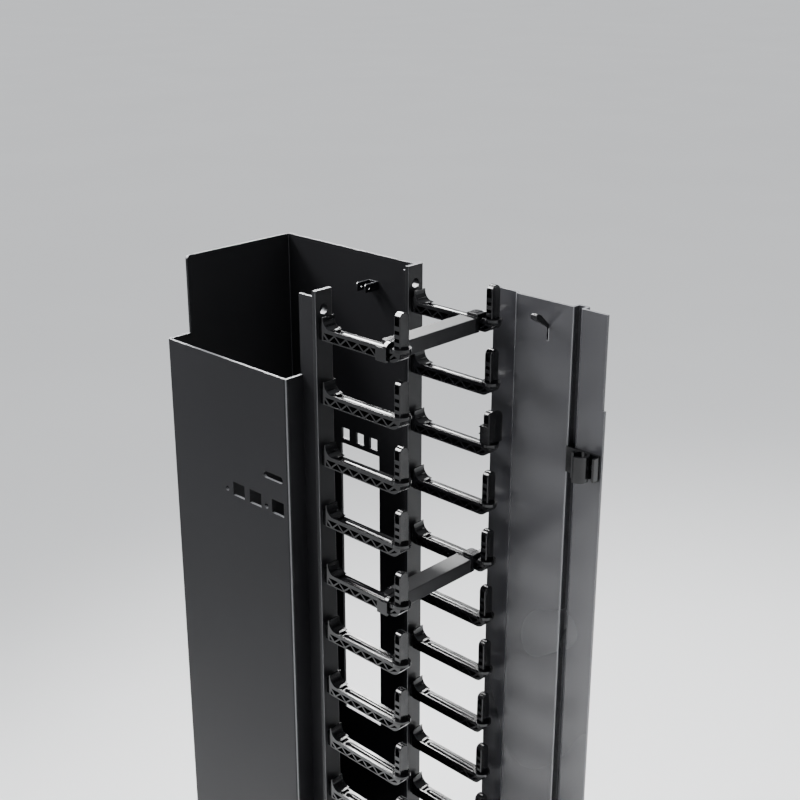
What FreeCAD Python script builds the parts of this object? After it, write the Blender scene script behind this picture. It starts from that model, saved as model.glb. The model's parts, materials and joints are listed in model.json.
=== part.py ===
import FreeCAD, Part
import os

import Sketcher
from FreeCAD import Placement, Rotation, Vector

# Vertical cable manager: a folded duct, two finger rails and a rear panel on one base tray.
# Lengths are millimetres. +X runs from the duct to the panel, +Y to the back, +Z up.
# The origin is on the floor, at the centre of the object's box.

ROWS = 12
BAR_ROWS = {"upper": 0, "lower": 4}
RETAINER_ROW = 2

DIMENSIONS = [
    ("row_pitch", 44.45, "one rack unit between rows of fingers"),
    ("overall_width", 301.5, "left face of the duct to right edge of the panel"),
    ("overall_depth", 125, "front of the duct to back of the panel's groove"),
    ("lowest_row", 49.45, "floor to the lowest arm's lip"),
    ("sheet", 2, "steel sheet of duct, panel and tray"),
    ("bend_radius", 2.4, "outside radius of the folds"),
    ("inner_bend", 0.4, "inside radius of the folds"),
    ("duct_width", 129, "outside width of the duct's front wall"),
    ("front_drop", 58, "front wall's top below the back wall's top"),
    ("notch_depth", 20, "how far the low front reaches along the left wall"),
    ("strip_setback", 15.4, "front face of the strip beside the rail"),
    ("strip_drop", 2, "strip's top below the back wall's top"),
    ("rail_plane", 142.5, "left face of the duct to the back of the rails"),
    ("rail_width", 15, "rail bar, front to back"),
    ("rail_thickness", 3, "rail bar"),
    ("rail_rise", 3, "rails' top above the back wall's top"),
    ("front_rail_inset", 3, "inner face of that strip to the front rail's centre"),
    ("rear_rail_inset", 11.6, "rear rail's centre to the duct's back face"),
    ("rail_hole_radius", 3.5, "fixing holes at the rails' ends"),
    ("rail_hole_drop", 13, "upper fixing holes below the rails' top"),
    ("rail_hole_height", 34, "lower fixing holes above the floor"),
    ("first_row_drop", 21.6, "first row's arm below the back wall's top"),
    ("foot_thickness", 3.4, "finger's foot between rail and arm"),
    ("foot_width", 9, "finger's foot, front to back"),
    ("arm_width", 10.4, "finger arm, front to back"),
    ("arm_depth", 8.2, "finger arm, top edge to bottom chord"),
    ("arm_length", 71.1, "foot to rounded nose"),
    ("nose_round", 2.2, "how far the rounded underside of the nose bulges up at its middle"),
    ("nose_plate", 1.7, "plate under the collar, from the lip down"),
    ("web", 1.3, "middle web of the arm"),
    ("truss_chord", 0.9, "arm's bottom under the pockets"),
    ("truss_roof", 2.6, "top of the pockets below the lip"),
    ("truss_strut", 0.8, "half of a strut, measured along the arm"),
    ("truss_start", 6.4, "first struts' meeting point beyond the foot"),
    ("truss_end", 4.35, "last struts' meeting point short of the tip"),
    ("lip_width", 1.1, "raised lip along the arm's front"),
    ("crown_drop", 0.7, "half-round top of the arm below its lip"),
    ("crown_radius", 4.2, "half-round top of the arm"),
    ("crown_start", 16.4, "half-round top's start beyond the foot"),
    ("crown_nose", 8, "length of that top's pointed end"),
    ("valley_drop", 1.9, "flat beside the half-round top, below the lip"),
    ("root_rise", 7.6, "root of the arm above its lip"),
    ("root_reach", 8.6, "root's foot along the arm"),
    ("root_sheet", 0.9, "root's top edge"),
    ("tip_rise", 24.1, "upright tip above the lip"),
    ("tip_length", 5.4, "upright tip along the arm"),
    ("tip_width", 8.4, "upright tip, front to back"),
    ("tip_margin", 0.8, "wall beside the tip's recesses"),
    ("tip_recess", 3, "depth of the tip's recesses"),
    ("tip_slot_drop", 8.4, "foot of the oblong recess below the tip's top"),
    ("tip_roof", 2, "tip's wall above the oblong recess"),
    ("tip_opening_drop", 18.9, "lowest square recess's foot below the tip's top"),
    ("tip_opening_height", 2.4, "square recesses"),
    ("tip_opening_pitch", 5.1, "between the square recesses"),
    ("tip_edge", 0.6, "rounding of the tip's long edges"),
    ("nose_overhang", 1.7, "rounded nose beyond the tip"),
    ("collar_radius", 6.4, "round collar at the tip's foot"),
    ("collar_thickness", 1.9, "round collar at the tip's foot"),
    ("collar_rise", 1.1, "collar's top above the lip"),
    ("peg_width", 5.2, "snap peg, front to back"),
    ("peg_height", 5, "snap peg"),
    ("peg_drop", 4, "snap peg's centre below the lip"),
    ("peg_end", 1.3, "peg's end behind the duct's flange"),
    ("barb", 1, "catch behind the duct's flange"),
    ("slot_clearance", 0.2, "round a peg in its slot"),
    ("bar_width", 14.4, "cross bar along the arm"),
    ("bar_height", 10.2, "cross bar"),
    ("bar_wall", 1.5, "wall of the hollow cross bar"),
    ("bar_drop", 9, "cross bar's underside below the lip"),
    ("bar_offset", 16.5, "cross bar's centre short of the tip's outer face"),
    ("bar_edge", 0.8, "rounding of the bar's upper edges"),
    ("clamp_wall", 1.5, "clamp cheek outside the arm"),
    ("clamp_shoulder", 4.2, "clamp block between arm and bar"),
    ("clamp_top", 3.6, "clamp pad's top above the lip"),
    ("clamp_gap", 0.3, "beside and over the arm"),
    ("clamp_width", 9.4, "clamp along the arm"),
    ("clamp_inset", 0.2, "clamp's outer end short of the bar's side"),
    ("strap_width", 2.9, "clamp's strap over the lip"),
    ("clamp_groove", 0.9, "gap between a clamp's strap and pad"),
    ("pad_reach", 1.9, "clamp's pad past the arm's middle"),
    ("end_cap", 1.2, "clamp's cap on the bar's end"),
    ("pad_step", 2.4, "clamp's pad short of its own end on the bar"),
    ("pad_round", 2.5, "rounded corner of the pad"),
    ("tongue_root", 0.5, "tongue's start inside the cap"),
    ("spigot", 9, "clamp's tongue inside the bar"),
    ("spigot_clearance", 0.15, "round a tongue in the bar"),
    ("sleeve_wall", 1.3, "retainer round a tip"),
    ("sleeve_gap", 0.25, "between retainer and tip"),
    ("sleeve_height", 12.9, "retainer's sleeve"),
    ("paddle_height", 23.3, "retainer's tall outer plate"),
    ("paddle_reach", 3.4, "outer plate past the sleeve's hollow"),
    ("paddle_round", 6, "rounded corner of the outer plate"),
    ("catch_height", 2.4, "retainer's small hooks"),
    ("catch_reach", 2.8, "retainer's small hooks"),
    ("catch_width", 2.2, "retainer's small hooks"),
    ("catch_pitch", 5, "between the retainer's small hooks"),
    ("panel_left", 206, "left face of the duct to the panel's left edge"),
    ("panel_drop", 3, "panel's top below the back wall's top"),
    ("joggle_width", 20, "set-back strip at the panel's left"),
    ("joggle_step", 2.5, "how far that strip is set back"),
    ("joggle_run", 2.5, "length of the slope to that strip"),
    ("groove_inset", 27.5, "panel's groove to the panel's right edge"),
    ("groove_width", 5.6, "panel's groove"),
    ("groove_depth", 6, "panel's groove"),
    ("groove_bend", 1.6, "rounding of the groove's folds"),
    ("edge_step", 1.5, "panel's right edge is narrower by this at the top"),
    ("edge_step_drop", 64, "length of that narrower edge"),
    ("upstand_height", 26, "tray's tabs inside the duct"),
    ("floor_hole_radius", 4.5, "holes for bolting the tray down"),
    ("floor_hole_side", 16.75, "those holes' centres from the tray's sides"),
    ("floor_hole_end", 16.5, "those holes' centres from the tray's front and back"),
    ("screw_radius", 2.4, "shank of the tray's screws"),
    ("screw_clearance", 0.1, "round a shank in its hole"),
    ("head_radius", 4.2, "head of the tray's screws"),
    ("head_height", 2.2, "head of the tray's screws"),
    ("small_screw_radius", 1.6, "shank of the rails' screws"),
    ("small_head_radius", 2.5, "head of the rails' screws"),
    ("small_head_height", 1.8, "head of the rails' screws"),
    ("rivet_radius", 1.4, "shank of the rivets"),
    ("rivet_head_radius", 2.0, "head of the rivets"),
    ("rivet_head_height", 0.8, "head of the rivets"),
    ("screw_height", 14, "tray screws above the floor"),
    ("punch_drop", 155, "front wall's row of cut-outs below the back wall's top"),
    ("punch_width", 12.5, "front wall's cut-outs"),
    ("punch_height", 10.5, "front wall's cut-outs"),
    ("punch_hole_radius", 1.9, "front wall's round holes"),
    ("key_slot_drop", 133, "front wall's oblong slot below the back wall's top"),
    ("key_slot_length", 20, "front wall's oblong slot"),
    ("key_slot_height", 5, "front wall's oblong slot"),
    ("key_slot_centre", 112.9, "front wall's oblong slot from the left face"),
    ("vent_drop", 149, "back wall's small cut-outs below its top"),
    ("vent_width", 8.3, "back wall's small cut-outs"),
    ("vent_height", 9, "back wall's small cut-outs"),
    ("window_left", 57, "left face of the duct to the back wall's window"),
    ("window_width", 42, "back wall's window"),
    ("window_drop", 157.5, "window's top below the back wall's top"),
    ("window_height", 240, "back wall's window"),
    ("fork_left", 89.8, "left face of the duct to the fork's first ear"),
    ("fork_gap", 7, "between the fork's ears"),
    ("fork_ear", 1.2, "thickness of an ear"),
    ("fork_plate", 1.2, "thickness of the fork's back plate"),
    ("fork_reach", 13.4, "ears' length out from the back wall"),
    ("fork_height", 6.3, "ears' height"),
    ("fork_drop", 26, "ears' underside below the back wall's top"),
    ("fork_hole_radius", 0.9, "hole through both ears"),
    ("fork_hole_inset", 4.1, "that hole's centre from the ears' ends"),
    ("fork_round", 1.6, "rounded ends of the ears"),
    ("hook_inset", 47.3, "panel's left edge to the panel hook"),
    ("hook_sheet", 1.8, "thickness of the panel hook"),
    ("hook_slot_drop", 30, "foot of the hook's slot below the back wall's top"),
    ("hook_slot_height", 11.6, "hook's slot"),
    ("hook_reach", 13.3, "hook's reach out from the panel"),
    ("hook_rise", 9, "hook's end above its slot"),
    ("hook_flare", 3.4, "hook's end wider than its slot"),
    ("hook_leg", 4, "hook's leg behind the panel, below the slot"),
    ("hook_neck", 3, "thickness of the hook where it leaves the slot"),
    ("clip_drop", 115.5, "cable clip's foot below the back wall's top"),
    ("clip_height", 18, "cable clip"),
    ("clip_inset", 1.3, "clip's right end to the panel's right edge"),
    ("clip_inner_radius", 4.6, "cable clip's hollow"),
    ("clip_wall", 1.7, "cable clip's ring"),
    ("clip_plate", 1.8, "cable clip's back plate"),
    ("clip_reach", 12.1, "ring's centre to the panel's right edge"),
    ("clip_wing", 1.7, "thickness of the clip's right wing"),
    ("clip_play", 0.3, "clip's jaw to the side of the groove"),
    ("clip_jaw", 1.6, "thickness of the clip's jaw"),
    ("clip_sink", 0.8, "how far the ring sinks into the back plate"),
    ("clip_wing_reach", 4.6, "clip's right wing, out from the back plate"),
]

# Centres of the front wall's cut-outs and the back wall's small cut-outs, from the left face.
FRONT_CUTS = {"square_1": 74.8, "square_2": 93.0, "square_3": 116.9}
FRONT_HOLES = {"round_1": 61.9, "round_2": 104.8}
BACK_CUTS = {"vent_1": 62.4, "vent_2": 78.2, "vent_3": 92.8}
# Rows with a screw through the rail half a pitch above them.
RAIL_SCREW_ROWS = (11, 7, 2)


class Size:
    """A length that keeps both its value and the sheet's formula for it."""

    def __init__(self, value, text):
        self.value = value
        self.text = text

    def join(self, other, sign, value):
        return Size(value, f"({self.text} {sign} {size(other).text})")

    def __add__(self, other):
        return self.join(other, "+", self.value + size(other).value)

    def __sub__(self, other):
        return self.join(other, "-", self.value - size(other).value)

    def __mul__(self, other):
        return self.join(other, "*", self.value * size(other).value)

    def __truediv__(self, other):
        return self.join(other, "/", self.value / size(other).value)

    def __radd__(self, other):
        return size(other) + self

    def __rsub__(self, other):
        return size(other) - self

    def __rmul__(self, other):
        return size(other) * self

    def __neg__(self):
        return 0 - self


def size(thing):
    """Wraps a plain number, and leaves a Size as it is."""
    if isinstance(thing, Size):
        return thing
    return Size(float(thing), f"({thing})")


# How far a cut runs past the faces that it goes through.
PAST = 1

doc = FreeCAD.newDocument("vertical_cable_manager")
sheet_object = doc.addObject("Spreadsheet::Sheet", "Dimensions")
cells = DIMENSIONS + [
    (alias, value, "cut-out's centre from the left face of the duct")
    for group in (FRONT_CUTS, FRONT_HOLES, BACK_CUTS)
    for alias, value in group.items()
]
dim = {}
for row, (alias, value, note) in enumerate(cells, start=1):
    sheet_object.set(f"A{row}", alias)
    sheet_object.set(f"B{row}", str(value))
    sheet_object.set(f"C{row}", note)
    sheet_object.setAlias(f"B{row}", alias)
    dim[alias] = Size(float(value), f"Dimensions.{alias}")
doc.recompute()

ALONG = {
    "x": Rotation(Vector(0, 1, 0), 90),
    "y": Rotation(Vector(1, 0, 0), -90),
    "z": Rotation(),
    "-x": Rotation(Vector(0, 1, 0), -90),
    "-y": Rotation(Vector(1, 0, 0), 90),
}
nodes = []


def bind(thing, name, length):
    """Ties one property to the sheet."""
    thing.setExpression(name, size(length).text)


def place(thing, x, y, z):
    """Ties a position to the sheet."""
    for letter, length in zip("xyz", (x, y, z)):
        bind(thing, f"Placement.Base.{letter}", length)


def new_body(label, x=None, y=None, z=0):
    """A body whose own zero is the object's front left corner on the floor, unless given."""
    body = doc.addObject("PartDesign::Body", label)
    body.Label = label
    left = -dim["overall_width"] / 2
    front = -dim["overall_depth"] / 2
    place(body, left + (x or 0), front + (y or 0), z)
    nodes.append(body)
    return body


def block(body, name, low, high, cut=False):
    """A box between two corners, added to a body or cut from it."""
    kind = "PartDesign::SubtractiveBox" if cut else "PartDesign::AdditiveBox"
    box = body.newObject(kind, name)
    for prop, near, far in zip(("Length", "Width", "Height"), low, high):
        bind(box, prop, size(far) - near)
    place(box, *low)
    return box


def rod(body, name, start, axis, radius, length, cut=False):
    """A cylinder from a point along an axis, added to a body or cut from it."""
    kind = "PartDesign::SubtractiveCylinder" if cut else "PartDesign::AdditiveCylinder"
    cylinder = body.newObject(kind, name)
    bind(cylinder, "Radius", radius)
    bind(cylinder, "Height", length)
    cylinder.Placement = Placement(Vector(), ALONG[axis])
    place(cylinder, *start)
    return cylinder


def side(body, role):
    """One of the body's own origin planes."""
    return next(f for f in body.Origin.OriginFeatures if f.Role == role)


def outline(body, name, plane, points, offset=0):
    """A closed sketch. Each point is a pair, or a pair and the middle of an arc that ends there."""
    sketch = body.newObject("Sketcher::SketchObject", name)
    sketch.AttachmentSupport = [(side(body, plane), "")]
    sketch.MapMode = "FlatFace"
    bind(sketch, "AttachmentOffset.Base.z", offset)
    flat = [(size(p[0]), size(p[1])) for p in points]
    count = len(points)
    for k in range(count):
        start = Vector(flat[k][0].value, flat[k][1].value, 0)
        end_point = flat[(k + 1) % count]
        end = Vector(end_point[0].value, end_point[1].value, 0)
        middle = points[(k + 1) % count][2:]
        if middle:
            bulge = Vector(size(middle[0][0]).value, size(middle[0][1]).value, 0)
            sketch.addGeometry(Part.Arc(start, bulge, end), False)
        else:
            sketch.addGeometry(Part.LineSegment(start, end), False)
    # An arc may be stored with its ends swapped, so its start is looked up.
    ends = []
    for k in range(count):
        start = Vector(flat[k][0].value, flat[k][1].value, 0)
        first = sketch.getPoint(k, 1)
        ends.append((1, 2) if (first - start).Length < 1e-6 else (2, 1))
    for k in range(count):
        after = (k + 1) % count
        sketch.addConstraint(Sketcher.Constraint("Coincident", k, ends[k][1], after, ends[after][0]))
    for k in range(count):
        for letter, length in zip("XY", flat[k]):
            index = sketch.addConstraint(
                Sketcher.Constraint(f"Distance{letter}", -1, 1, k, ends[k][0], length.value)
            )
            sketch.renameConstraint(index, f"{letter.lower()}{k}")
            sketch.setExpression(f"Constraints.{letter.lower()}{k}", length.text)
    return sketch


def extrude(body, name, plane, points, length, offset=0, cut=False):
    """A padded or pocketed outline. It starts at the offset and runs along the plane's normal."""
    sketch = outline(body, f"{name}_outline", plane, points, offset)
    feature = body.newObject("PartDesign::Pocket" if cut else "PartDesign::Pad", name)
    feature.Profile = sketch
    feature.Reversed = cut
    bind(feature, "Length", length)
    return feature


def ladder(body, name, feature, pitch, count):
    """Repeats a feature upward along the body's own Z axis."""
    pattern = body.newObject("PartDesign::LinearPattern", name)
    pattern.Originals = [feature]
    pattern.Direction = (side(body, "Z_Axis"), [""])
    bind(pattern, "Length", size(pitch) * (count - 1))
    pattern.Occurrences = count
    body.Tip = pattern
    return pattern


def round_edges(body, name, radius, wanted):
    """Rounds every edge of the body that the test picks."""
    doc.recompute()
    base = body.Tip
    names = [f"Edge{k}" for k, edge in enumerate(base.Shape.Edges, start=1) if wanted(edge)]
    if not names:
        raise RuntimeError(f"{body.Label}: no edge for {name}")
    fillet = body.newObject("PartDesign::Fillet", name)
    fillet.Base = (base, names)
    bind(fillet, "Radius", radius)
    body.Tip = fillet
    return fillet


def upright_at(*corners):
    """A test for vertical edges that stand at one of the corners."""
    places = [(size(x).value, size(y).value) for x, y in corners]

    def test(edge):
        box = edge.BoundBox
        if box.ZLength < 1 or box.XLength > 0.01 or box.YLength > 0.01:
            return False
        return any(abs(box.XMin - x) < 0.02 and abs(box.YMin - y) < 0.02 for x, y in places)

    return test


def short_edges_at(direction, first, second):
    """A test for straight edges along X or Y at one height and one place across."""
    low, height = size(first).value, size(second).value

    def test(edge):
        box = edge.BoundBox
        along = box.XLength if direction == "x" else box.YLength
        across = box.YLength if direction == "x" else box.XLength
        spot = box.YMin if direction == "x" else box.XMin
        return (
            along > 0.5
            and across < 0.01
            and box.ZLength < 0.01
            and abs(spot - low) < 0.02
            and abs(box.ZMin - height) < 0.02
        )

    return test


W = dim["overall_width"]
D = dim["overall_depth"]
T = dim["sheet"]
PITCH = dim["row_pitch"]
LOWEST_LEVEL = dim["lowest_row"]
TOP = LOWEST_LEVEL + PITCH * (ROWS - 1) + dim["first_row_drop"]
DUCT_W = dim["duct_width"]
DUCT_D = D - dim["groove_depth"]
BACK_FACE = DUCT_D - T
RAIL_BACK = dim["rail_plane"]
RAIL_FACE = RAIL_BACK + dim["rail_thickness"]
RAIL_TOP = TOP + dim["rail_rise"]
FLANGE = RAIL_BACK - T
SETBACK = dim["strip_setback"]
RAIL_HALF = dim["rail_width"] / 2
CENTRES = {
    "front": SETBACK + T + dim["front_rail_inset"],
    "rear": DUCT_D - dim["rear_rail_inset"],
}
PANEL_LEFT = dim["panel_left"]
PANEL_TOP = TOP - dim["panel_drop"]
HOOK_LEFT = PANEL_LEFT + dim["hook_inset"]
SCREW_HOLE = dim["screw_radius"] + dim["screw_clearance"]
SMALL_HOLE = dim["small_screw_radius"] + dim["screw_clearance"]
RIVET_HOLE = dim["rivet_radius"] + dim["screw_clearance"]


def level(row):
    """Height of a row's arm lip, counted from the top row."""
    return TOP - dim["first_row_drop"] - PITCH * row


def peg_slot(body, name, centre, near, far):
    """The row of slots that the fingers' pegs pass through."""
    half_width = dim["peg_width"] / 2 + dim["slot_clearance"]
    half_height = dim["peg_height"] / 2 + dim["slot_clearance"]
    middle = LOWEST_LEVEL - dim["peg_drop"]
    slot = block(
        body,
        name,
        (near, centre - half_width, middle - half_height),
        (far, centre + half_width, middle + half_height),
        cut=True,
    )
    return ladder(body, f"{name}_rows", slot, PITCH, ROWS)


def rail_screw_heights():
    """Heights of the screws that hold a rail on its flange."""
    return [level(row) + PITCH / 2 for row in RAIL_SCREW_ROWS]


# Each tab: where it starts and ends, the axis across it, its face nearest zero, its screws.
TRAY_TABS = {
    "front": ((16, DUCT_W - 15), "y", T, (30, DUCT_W - 29)),
    "left": ((28, DUCT_D - 27), "x", T, (42, DUCT_D - 41)),
    "back": ((16, DUCT_W - 15), "y", BACK_FACE - T, (30, DUCT_W - 29)),
    "panel": ((PANEL_LEFT + 24, PANEL_LEFT + 64), "y", DUCT_D, (PANEL_LEFT + 32, PANEL_LEFT + 56)),
}
DUCT_OUTLET = ((24, 30), (DUCT_W - 24, DUCT_D - 29))
FINGER_OUTLET = ((RAIL_FACE + 6.5, 18), (PANEL_LEFT - 2, DUCT_D - 11))


def build_base_tray():
    """Floor plate with tabs that stand inside the duct and behind the panel."""
    body = new_body("base_tray")
    block(body, "floor", (0, 0, 0), (W, D, T))
    for name, (span, across, start, screws) in TRAY_TABS.items():
        if across == "y":
            low, high = (span[0], start, 0), (span[1], start + T, dim["upstand_height"])
        else:
            low, high = (start, span[0], 0), (start + T, span[1], dim["upstand_height"])
        block(body, f"{name}_tab", low, high)
        for number, spot in enumerate(screws, start=1):
            if across == "y":
                begin = (spot, start - T, dim["screw_height"])
            else:
                begin = (start - T, spot, dim["screw_height"])
            rod(body, f"{name}_tap_{number}", begin, across, SCREW_HOLE, T * 3, cut=True)
    corners = []
    for name, (low, high) in (("duct_outlet", DUCT_OUTLET), ("finger_outlet", FINGER_OUTLET)):
        block(body, name, (*low, -PAST), (*high, T + PAST), cut=True)
        corners += [(x, y) for x in (low[0], high[0]) for y in (low[1], high[1])]
    for name, x_side in (("left", -PAST), ("right", 1)):
        for place_name, y_side in (("front", -PAST), ("back", 1)):
            x = W / 2 + x_side * (W / 2 - dim["floor_hole_side"])
            y = D / 2 + y_side * (D / 2 - dim["floor_hole_end"])
            radius = dim["floor_hole_radius"]
            rod(body, f"bolt_{name}_{place_name}", (x, y, -PAST), "z", radius, T + PAST * 2, cut=True)
    outlets = upright_at(*corners)
    outside = upright_at((0, 0), (W, 0), (0, D), (W, D))
    round_edges(body, "outlet_corners", 6, outlets)
    round_edges(body, "tray_corners", 4, outside)
    return body


def build_duct():
    """One folded sheet: flange, strip, return, front, left and back walls, flange."""
    body = new_body("duct_housing")
    front_edge = CENTRES["front"] + RAIL_HALF
    rear_edge = CENTRES["rear"] - RAIL_HALF
    inner = DUCT_W - T
    points = [
        (RAIL_BACK, front_edge),
        (RAIL_BACK, SETBACK),
        (DUCT_W, SETBACK),
        (DUCT_W, 0),
        (0, 0),
        (0, DUCT_D),
        (RAIL_BACK, DUCT_D),
        (RAIL_BACK, rear_edge),
        (FLANGE, rear_edge),
        (FLANGE, BACK_FACE),
        (T, BACK_FACE),
        (T, T),
        (inner, T),
        (inner, SETBACK + T),
        (FLANGE, SETBACK + T),
        (FLANGE, front_edge),
    ]
    extrude(body, "folded_sheet", "XY_Plane", points, TOP - T, offset=T)
    outer_folds = ((0, 0), (0, DUCT_D), (RAIL_BACK, DUCT_D), (DUCT_W, 0), (RAIL_BACK, SETBACK))
    inner_folds = ((T, T), (T, BACK_FACE), (FLANGE, BACK_FACE), (inner, T), (FLANGE, SETBACK + T))
    round_edges(body, "outer_folds", dim["bend_radius"], upright_at(*outer_folds))
    round_edges(body, "inner_folds", dim["inner_bend"], upright_at(*inner_folds))
    low_top = TOP - dim["front_drop"]
    above = TOP + PAST
    corner = (-PAST, -PAST, low_top)
    block(body, "low_front", corner, (DUCT_W + PAST, SETBACK, above), cut=True)
    notch = dim["notch_depth"]
    block(body, "left_notch", corner, (T + PAST, notch, above), cut=True)
    strip_top = TOP - dim["strip_drop"]
    block(
        body,
        "strip_top",
        (inner - PAST, SETBACK - PAST, strip_top),
        (RAIL_BACK + PAST, front_edge + PAST, above),
        cut=True,
    )
    through = T + PAST * 2
    z = TOP - dim["punch_drop"]
    half_w, half_h = dim["punch_width"] / 2, dim["punch_height"] / 2
    for name in FRONT_CUTS:
        x = dim[name]
        low = (x - half_w, -PAST, z - half_h)
        block(body, name, low, (x + half_w, T + PAST, z + half_h), cut=True)
    for name in FRONT_HOLES:
        radius = dim["punch_hole_radius"]
        rod(body, name, (dim[name], -PAST, z - 2), "y", radius, through, cut=True)
    z = TOP - dim["key_slot_drop"]
    radius = dim["key_slot_height"] / 2
    reach = dim["key_slot_length"] / 2 - radius
    x = dim["key_slot_centre"]
    high = (x + reach, T + PAST, z + radius)
    block(body, "key_slot", (x - reach, -PAST, z - radius), high, cut=True)
    rod(body, "key_slot_left", (x - reach, -PAST, z), "y", radius, through, cut=True)
    rod(body, "key_slot_right", (x + reach, -PAST, z), "y", radius, through, cut=True)
    z = TOP - dim["vent_drop"]
    half_w, half_h = dim["vent_width"] / 2, dim["vent_height"] / 2
    for name in BACK_CUTS:
        x = dim[name]
        low = (x - half_w, BACK_FACE - PAST, z - half_h)
        block(body, name, low, (x + half_w, DUCT_D + PAST, z + half_h), cut=True)
    left = dim["window_left"]
    z = TOP - dim["window_drop"]
    low = (left, BACK_FACE - PAST, z - dim["window_height"])
    block(body, "window", low, (left + dim["window_width"], DUCT_D + PAST, z), cut=True)
    for name, centre in CENTRES.items():
        peg_slot(body, f"{name}_peg_slot", centre, FLANGE - PAST, RAIL_BACK + PAST)
        for number, height in enumerate(rail_hole_heights(), start=1):
            start = (FLANGE - PAST, centre, height)
            radius = dim["rail_hole_radius"]
            rod(body, f"{name}_fixing_{number}", start, "x", radius, through, cut=True)
        for number, height in enumerate(rail_screw_heights(), start=1):
            start = (FLANGE - PAST, centre, height)
            rod(body, f"{name}_screw_{number}", start, "x", SMALL_HOLE, through, cut=True)
    for name, (span, across, start, screws) in TRAY_TABS.items():
        if name == "panel":
            continue
        for number, spot in enumerate(screws, start=1):
            if across == "y":
                begin = (spot, start - T * 1.5, dim["screw_height"])
            else:
                begin = (start - T * 1.5, spot, dim["screw_height"])
            rod(body, f"{name}_tray_{number}", begin, across, SCREW_HOLE, T * 4, cut=True)
    x, z = fork_rivet_spot()
    rod(body, "fork_hole", (x, BACK_FACE - PAST, z), "y", RIVET_HOLE, through, cut=True)
    round_edges(body, "notch_corner", 3, short_edges_at("x", notch, TOP))
    return body


def rail_hole_heights():
    """Heights of the fixing holes at the two ends of a rail."""
    return (dim["rail_hole_height"], RAIL_TOP - dim["rail_hole_drop"])


def build_rail(side_name):
    """Flat bar with a slot for each finger and a fixing hole at each end."""
    body = new_body(f"{side_name}_rail")
    centre = CENTRES[side_name]
    front, back = centre - RAIL_HALF, centre + RAIL_HALF
    block(body, "bar", (RAIL_BACK, front, T), (RAIL_FACE, back, RAIL_TOP))
    peg_slot(body, "peg_slot", centre, RAIL_BACK - PAST, RAIL_FACE + PAST)
    for number, height in enumerate(rail_hole_heights(), start=1):
        start = (RAIL_BACK - PAST, centre, height)
        length = dim["rail_thickness"] + 2
        rod(body, f"fixing_{number}", start, "x", dim["rail_hole_radius"], length, cut=True)
    for number, height in enumerate(rail_screw_heights(), start=1):
        start = (RAIL_BACK - PAST, centre, height)
        rod(body, f"tapped_hole_{number}", start, "x", SMALL_HOLE, rail_bite() + 1.1, cut=True)
    round_edges(body, "front_edges", 0.8, upright_at((RAIL_FACE, front), (RAIL_FACE, back)))
    return body


def rail_bite():
    """Depth of the rail's blind screw holes."""
    return dim["rail_thickness"] - 0.8


ARM_END = dim["foot_thickness"] + dim["arm_length"]
TIP_OUT = ARM_END - dim["nose_overhang"]
TIP_IN = TIP_OUT - dim["tip_length"]
ARM_HALF = dim["arm_width"] / 2
TIP_HALF = dim["tip_width"] / 2
TIP_MIDDLE = (TIP_IN + TIP_OUT) / 2
TRUSS_BAYS = 5


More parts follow.
